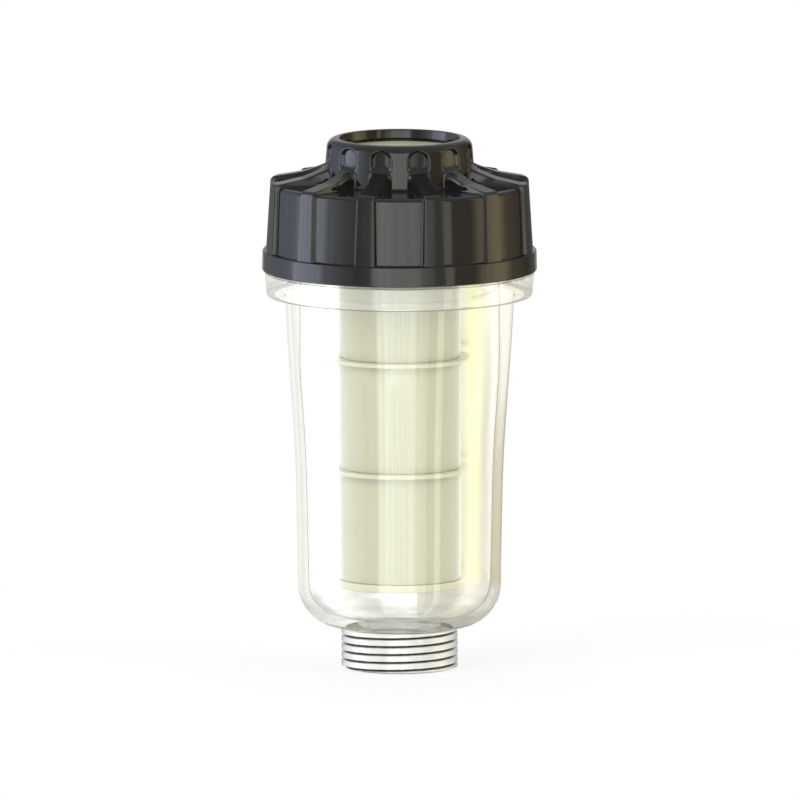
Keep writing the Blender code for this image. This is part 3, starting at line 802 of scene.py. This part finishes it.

# %% Paint shade into the grooves and give the bowl its finishes
# The attribute is painted shade: 1 deep in a groove, and 0 on the crests and off the thread.
paint = bowl.data.color_attributes.new(name="groove", type="FLOAT_COLOR", domain="POINT")
shade = np.repeat(smoothstep((groove_depth - 0.1) / 0.6)[:, None], 4, axis=1)
paint.data.foreach_set("color", shade.ravel())
bowl.data.materials.append(clear_plastic)
bowl.data.materials.append(milky_thread)
MILKY_BELOW, MILKY_OUTSIDE = 9.5, 11.0
for face in bowl.data.polygons:
    middle = Vector(face.center) / MM
    face.material_index = int(middle.z < MILKY_BELOW and middle.xy.length > MILKY_OUTSIDE)
print("milky faces:", sum(face.material_index for face in bowl.data.polygons))
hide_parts("bowl")
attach(bowl, "bowl")

# %% [markdown]
# The cap is the piece that is looked at. Twelve ribs climb its skirt, turn over the shoulder and
# run up into round-topped flutes in the boss. Cutting and joining solids would leave hard, broken
# edges there. Instead one half of a sector is made twice with the same rows and columns: once along
# the outline between two ribs, and once along the outline of a rib's top. The second becomes a
# shape key of the first, and a painted vertex group says where it acts, with a soft edge that is
# the fillet.

# %% Sizes of the cap, and curves for its outlines
CAP_FOOT, SHOULDER, CAP_TOP = 91.3, 111.6, 121.6
BOSS_ROUND = 2.0


def smooth_path(stations, count):
    """Points along a Catmull-Rom curve through stations, evenly spaced by length."""
    table = [Vector(s) for s in stations]
    table = [2 * table[0] - table[1]] + table + [2 * table[-1] - table[-2]]
    dense = []
    for a, b, c, d in zip(table, table[1:], table[2:], table[3:]):
        for i in range(24):
            t = i / 24
            dense.append(0.5 * ((2 * b) + (c - a) * t + (2 * a - 5 * b + 4 * c - d) * t ** 2
                                + (3 * b - a - 3 * c + d) * t ** 3))
    dense.append(table[-2])
    steps = [(b - a).length for a, b in zip(dense, dense[1:])]
    length = np.concatenate([[0], np.cumsum(steps)])
    wanted = np.linspace(0, length[-1], count)
    return [(float(np.interp(w, length, [p.x for p in dense])),
             float(np.interp(w, length, [p.y for p in dense]))) for w in wanted]


def corner_arc(radius, height, across, up, angles):
    """Points of an elliptic arc that turns from straight outwards to straight down."""
    return [(radius + across * math.sin(t), height + up * math.cos(t)) for t in angles]


def hollow_arc(radius, height, across, down, angles):
    """Points of an elliptic arc that turns from straight down to straight outwards."""
    return [(radius + across * (1 - math.cos(t)), height - down * math.sin(t)) for t in angles]


def boss_wall(height):
    """Radius of the boss between the flutes, with its rounded top edge."""
    wall = 16.42 + 0.083 * (CAP_TOP - height)
    above = height - (CAP_TOP - BOSS_ROUND)
    if above < 0:
        return wall
    return wall - BOSS_ROUND + math.sqrt(max(BOSS_ROUND ** 2 - above ** 2, 0))


print("boss radius:", round(boss_wall(CAP_TOP), 2), "at its top,",
      round(boss_wall(SHOULDER), 2), "at the shoulder")

# %% Boss and flute floor
FLUTE_RADIUS = 15.82
edge_angles = np.radians(np.linspace(88, 46, 7))
top_arc = [(boss_wall(z), z) for z in CAP_TOP - BOSS_ROUND + BOSS_ROUND * np.sin(edge_angles)]
flute_rows = list(np.arange(120.9, 117.85, -0.1)) + list(np.arange(117.75, 116.2, -0.25))
flute_floor = smooth_path([(FLUTE_RADIUS, 121.3), (FLUTE_RADIUS, 120.0), (FLUTE_RADIUS, 118.6),
                           (15.86, 117.6), (16.0, 116.95), (16.35, 116.2)], 80)
floor_radius = [float(np.interp(-z, [-h for _, h in flute_floor], [r for r, _ in flute_floor]))
                for z in flute_rows]
print("flute:", round(boss_wall(118.6) - FLUTE_RADIUS, 2), "mm deep,", len(flute_rows), "rows")

# %% The two outlines of the outside, from the boss's top edge to the band
valley = (
    top_arc + [(boss_wall(z), z) for z in flute_rows]
    + [(boss_wall(z), z) for z in np.linspace(116.0, 112.5, 8)]
    + hollow_arc(17.16, 112.3, 0.75, 0.68, np.linspace(0.3, 1.57, 5))
    + smooth_path([(18.4, SHOULDER), (28.0, 111.33)], 11)
    + corner_arc(28.1, 110.22, 1.1, 1.1, np.linspace(0.08, 1.5, 8))
    + smooth_path([(29.25, 109.6), (29.86, 96.6)], 9)
    + hollow_arc(29.9, 96.28, 0.35, 0.35, np.linspace(0.1, 1.57, 4))
    + [(30.6, 95.92)]
    + corner_arc(30.85, 95.57, 0.35, 0.35, np.linspace(0.1, 1.5, 5))
)
rib_top = (
    top_arc + list(zip(floor_radius, flute_rows))
    + smooth_path([(16.62, 115.88), (17.15, 115.45), (17.95, 115.0), (18.9, 114.57),
                   (19.85, 114.2)], 8)
    + smooth_path([(20.2, 114.06), (21.2, 113.68), (22.2, 113.35)], 5)
    + smooth_path([(22.6, 113.2), (25.0, 112.72), (28.5, 112.06)], 11)
    + corner_arc(28.75, 110.72, 1.3, 1.3, np.linspace(0.08, 1.5, 8))
    + smooth_path([(30.08, 109.8), (30.85, 96.6)], 9)
    + hollow_arc(30.86, 96.2, 0.1, 0.22, np.linspace(0.1, 1.57, 4))
    + [(31.0, 95.92)]
    + corner_arc(30.9, 95.60, 0.3, 0.3, np.linspace(0.1, 1.5, 5))
)
print("cap rows:", len(valley), "and", len(rib_top))

# %% The rest of the outline: the inside, the mouth and the band
cap_inside = [
    (26.9, CAP_FOOT, 0.2), (26.9, 104.6, 0), (24.7, 104.6, 0),
    (24.7, 109.2, 0.6), (17.8, 109.2, 0), (15.2, 111.8, 0), (15.2, 119.6, 0),
    (13.25, 119.6, 0.1),
]
cap_mouth = [(13.75, CAP_TOP, 0.25)]
cap_band = [(31.3, CAP_FOOT, 0.35)]


def cap_outline(middle):
    """Closed outline of the cap with the outside between the mouth and the band given."""
    ends = [(*middle[0], 0), (*middle[-1], 0)]
    start = filleted(cap_inside + cap_mouth + ends + cap_band)
    cut = len(start) - 1
    while (start[cut] - Vector(middle[0])).length > 1e-6:
        cut -= 1
    return start[:cut] + [Vector(p) for p in middle] + start[cut + 2:]


print("points round the cap's outline:", len(cap_outline(valley)))

# %% [markdown]
# The sector's columns stand close together at the rib's edge, where the fillet needs them, and run
# along it: each vertex moves round the axis until its column is at its own share of the rib's
# half-width there. The rib narrows over the shoulder and widens down the skirt.

# %% Half a sector, with columns that follow the rib's edge
RIBS = 12
RIB_HALF = 2.2
EDGE_COLUMNS = [1.05, 1.25, 1.42, 1.56, 1.68, 1.78, 1.87, 1.94, 2.0, 2.06, 2.12, 2.18, 2.24, 2.3,
                2.36, 2.42, 2.48, 2.56, 2.68, 2.85]
NEAR = [0, 0.3, 0.6, 0.85] + EDGE_COLUMNS
FAR = 4
COLUMNS = len(NEAR) - 1 + FAR
HALF = math.pi / RIBS


def rib_half_width(radius, height):
    """Half the width of a rib, or of a flute in the boss, by radius and height."""
    on_shoulder = np.clip((radius - 17.5) / 11.5, 0, 1)
    down_skirt = np.clip((110.2 - height) / 14.3, 0, 1)
    in_boss = np.clip((height - 114.5) / 2.0, 0, 1)
    return RIB_HALF - 0.12 * on_shoulder + 0.37 * down_skirt - 0.02 * in_boss * (1 - on_shoulder)


def half_sector(name, middle, widths=None):
    """An outline spun through half a sector, its columns then moved to run along the rib."""
    piece = spin(draw_outline(name, cap_outline(middle)), COLUMNS, HALF)
    radius, angle, height = place_table(piece)
    if widths is None:
        widths = rib_half_width(radius, height)
    column = np.rint(np.abs(angle) / HALF * COLUMNS).astype(int)
    near = np.array(NEAR + [NEAR[-1]] * FAR)[column] * widths / RIB_HALF
    share = np.clip((column - len(NEAR) + 1) / FAR, 0, 1)
    angle = np.arcsin(near / radius) * (1 - share) + HALF * share
    places = np.stack([radius * np.cos(angle), radius * np.sin(angle), height], axis=1) * MM
    piece.data.vertices.foreach_set("co", places.ravel())
    piece.data.update()
    return piece, widths


cap, rib_widths = half_sector("cap_shell", valley)
rib, _ = half_sector("rib_tops", rib_top, rib_widths)
print("vertices in half a sector:", len(cap.data.vertices), "and", len(rib.data.vertices))

# %% [markdown]
# The vertex group is 1 on the rib and 0 beside it. Over the boss the rib turns into a flute, whose
# top is an arch: above the arch's centre the distance is taken from that centre and no longer
# sideways. The fillet is wide where rib and flute meet, and narrow at the very top of the arch.

# %% Where the rib acts
ARCH_CENTRE = 118.35
radius, angle, height = place_table(cap)
sideways = radius * np.sin(np.abs(angle))
arch = (radius < 17.5) & (height > ARCH_CENTRE)
reach = np.where(arch, np.hypot(sideways, height - ARCH_CENTRE), sideways)
upright = np.where(arch, (height - ARCH_CENTRE) / np.maximum(reach, 0.01), 0)
softness = 0.55 + 0.6 * smoothstep((19.5 - radius) / 2.5) - 0.55 * upright ** 2
inside_rib = smoothstep((rib_widths - reach) / softness + 0.5)
print("vertices on the rib or its fillet:", int((inside_rib > 0).sum()))

# %% Join the two as a shape key
deselect_all()
rib.select_set(True)
cap.select_set(True)
bpy.context.view_layer.objects.active = cap
bpy.ops.object.join_shapes()
key = cap.data.shape_keys.key_blocks["rib_tops"]
group = cap.vertex_groups.new(name="rib")
for index in np.flatnonzero(inside_rib > 0):
    group.add([int(index)], float(inside_rib[index]), "REPLACE")
key.vertex_group = "rib"
key.value = 1.0
bpy.ops.object.select_all(action="DESELECT")
cap.select_set(True)
bpy.ops.object.convert(target="MESH")
bpy.data.objects.remove(rib, do_unlink=True)
print("half a sector, shaped:", len(cap.data.polygons), "faces")

# %% [markdown]
# Half a sector is mirrored in the middle of its rib and turned by half a sector, so that a valley
# faces the front with a rib on each side of it. It is then spun round as copies whose edges are
# merged.

# %% Mirror the half sector and repeat it round the cap
apply_modifier(cap, "MIRROR", use_axis=(False, True, False), merge_threshold=MERGE_WITHIN)
edit(cap)
bpy.ops.transform.rotate(value=HALF, orient_axis="Z", center_override=(0, 0, 0))
bpy.ops.mesh.spin(steps=RIBS - 1, angle=math.tau * (RIBS - 1) / RIBS, dupli=True,
                  center=(0, 0, 0), axis=(0, 0, 1))
flatten(tidy(cap, 50))
cap.data.materials.append(black_plastic)

# %% [markdown]
# The cap's own thread is a ridge that climbs two and a half turns inside the skirt. Its section is
# drawn in the wall, and a Screw modifier carries it round and up.

# %% Thread inside the cap
RIDGE_TURNS = 2.5
ridge = draw_outline("cap_thread_ridge", [(27.2, 91.75), (26.9, 91.85), (25.7, 92.6),
                                          (25.7, 93.6), (26.9, 94.35), (27.2, 94.45)])
apply_modifier(ridge, "SCREW", angle=math.tau * RIDGE_TURNS,
               screw_offset=RIDGE_TURNS * NECK_THREAD["pitch"] * MM, steps=160, render_steps=160)
edit(ridge)
bpy.ops.mesh.fill_holes(sides=0)
bpy.ops.object.mode_set(mode="OBJECT")
tidy(ridge)
ridge.data.materials.append(black_plastic)
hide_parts("cap")
for piece in (cap, ridge):
    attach(piece, "cap")

# %% [markdown]
# The inlet bush is pressed up into the boss from below. Its bore is threaded down to a flat gasket,
# and a short spigot under its flange enters the head of the insert.

# %% Inlet bush
BUSH_ROOT = 13.22
bush = turned("inlet_thread_bush", [
    (13.9, 118.9, 0.25), (14.9, 118.9, 0.15), (14.9, 108.9, 0), (20.5, 108.9, 0.3),
    (20.5, 106.7, 0.3), (14.7, 106.7, 0), (14.7, 102.3, 0.6), (9.5, 102.3, 0.3), (9.5, 104.6, 0),
    *run((BUSH_ROOT, 104.6), (BUSH_ROOT, 118.1), 122),
], steps=120)
BUSH_THREAD = {"wall": BUSH_ROOT, "span": (104.65, 118.05), "pitch": PIPE_PITCH, "depth": 1.14,
               "crest_at": 105.6}
raise_thread(bush, **BUSH_THREAD, flank=0.84)
bpy.ops.object.shade_smooth_by_angle(angle=math.radians(40))
flatten(bush)
bush.data.materials.append(cream_plastic)
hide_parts("inlet_bush")
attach(bush, "cap")

# %% Gasket
seat = turned("inlet_gasket_ring", [(9.5, 106.9, 0.25), (11.76, 106.9, 0.25),
                                    (11.76, 104.9, 0.25), (9.5, 104.9, 0.25)], steps=96)
seat.data.materials.append(gasket_rubber)
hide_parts("inlet_gasket")
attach(seat, "cap")

# %% [markdown]
# The insert is a moulded cage with a woven sleeve in each bay between its hoops. The hoops stand
# proud, as rings with rounded edges, and eight bars join them inside the sleeves. One bar is made
# from a cube, bevelled, and spun round as copies.

# %% Head and hoops of the cage
END_TOP = 20.6
HEAD_FOOT = 97.1
HOOP_BORE, HOOP_RADIUS, HOOP_HEIGHT = 12.1, 16.4, 1.0
BAY = (HEAD_FOOT - END_TOP) / 3
hoop_feet = [END_TOP - HOOP_HEIGHT + BAY * i for i in (1, 2, 3)]
cage = turned("cage_head", [
    (15.0, 106.4, 0), (24.1, 106.4, 0.3), (24.1, 104.9, 0.3), (22.3, 104.9, 0),
    (22.3, 101.9, 0.15), (21.3, 101.9, 0.15), (21.3, 104.9, 0), (16.8, 104.9, 0.6),
    (16.8, 101.7, 0.3), (14.0, HEAD_FOOT, 0), (HOOP_RADIUS, HEAD_FOOT, 0.2),
    (HOOP_RADIUS, 96.1, 0.2), (HOOP_BORE, 96.1, 0), (HOOP_BORE, 98.9, 0), (15.0, 101.7, 0),
], steps=128)
rings = []
for number, foot in enumerate(hoop_feet[:-1], start=1):
    top = foot + HOOP_HEIGHT
    rings.append(turned(f"hoop_{number}", [
        (HOOP_BORE, top, 0), (HOOP_RADIUS, top, 0.32), (HOOP_RADIUS, foot, 0.32),
        (HOOP_BORE, foot, 0)], steps=128))
rings.append(turned("foot_hoop", [
    (HOOP_BORE, 23.1, 0), (13.1, 23.1, 0.2), (13.1, 20.9, 0.2), (HOOP_BORE, 20.9, 0)], steps=96))

# %% Bars of the cage
BARS = 8
BAR_SIZE = (0.6 * MM, 1.6 * MM, 75.2 * MM)
BAR_PLACE = (12.6 * MM, 0, 59.0 * MM)
deselect_all()
bpy.ops.mesh.primitive_cube_add(size=1.0)
bar = bpy.context.object
bar.name = "cage_bars"
bpy.ops.object.mode_set(mode="EDIT")
bpy.ops.transform.resize(value=BAR_SIZE)
bpy.ops.transform.translate(value=BAR_PLACE)
bpy.ops.mesh.bevel(offset=0.15 * MM, segments=2)
bpy.ops.mesh.select_all(action="SELECT")
bpy.ops.mesh.spin(steps=BARS - 1, angle=math.tau * (BARS - 1) / BARS, dupli=True,
                  center=(0, 0, 0), axis=(0, 0, 1))
tidy(bar)

deselect_all()
for part in (bar, *rings, cage):
    part.select_set(True)
bpy.context.view_layer.objects.active = cage
bpy.ops.object.join()
print("cage:", len(cage.data.polygons), "faces")
cage.data.materials.append(cream_plastic)
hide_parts("screen_cage")
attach(cage, "bowl")

# %% [markdown]
# A sleeve fills each bay. It is a short tube, a hair shorter than the bay, whose outer edges are
# barely rounded, as cut mesh is.

# %% Sleeves
SLEEVE_BORE = 13.4
EDGE_GAP = 0.06
low = END_TOP
for number, foot in enumerate(hoop_feet, start=1):
    top, bottom = foot - EDGE_GAP, low + EDGE_GAP
    sleeve = turned(f"woven_sleeve_{number}", [
        (SLEEVE_BORE, top, 0), (SLEEVE_RADIUS, top, 0.08), (SLEEVE_RADIUS, bottom, 0.08),
        (SLEEVE_BORE, bottom, 0)], steps=128)
    sleeve.data.materials.append(screen_mesh)
    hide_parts(f"screen_sleeve_{number}")
    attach(sleeve, "bowl")
    low = foot + HOOP_HEIGHT

# %% [markdown]
# The end cap closes the insert's foot: a disc with a rounded rim, and a plug that fits inside the
# cage. Its outline starts and ends on the axis, so it is left open and the spin closes it.

# %% End cap
end_cap = draw_outline("end_cap", filleted([
    (0.0, END_TOP, 0), (10.4, END_TOP, 0.3), (10.4, 23.6, 0.2), (11.8, 23.6, 0.2),
    (11.8, END_TOP, 0), (14.8, END_TOP, 0.35), (14.8, 18.8, 0.35), (0.0, 18.8, 0)]), closed=False)
tidy(spin(end_cap, 96))
end_cap.data.materials.append(cream_plastic)
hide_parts("screen_end_cap")
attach(end_cap, "bowl")
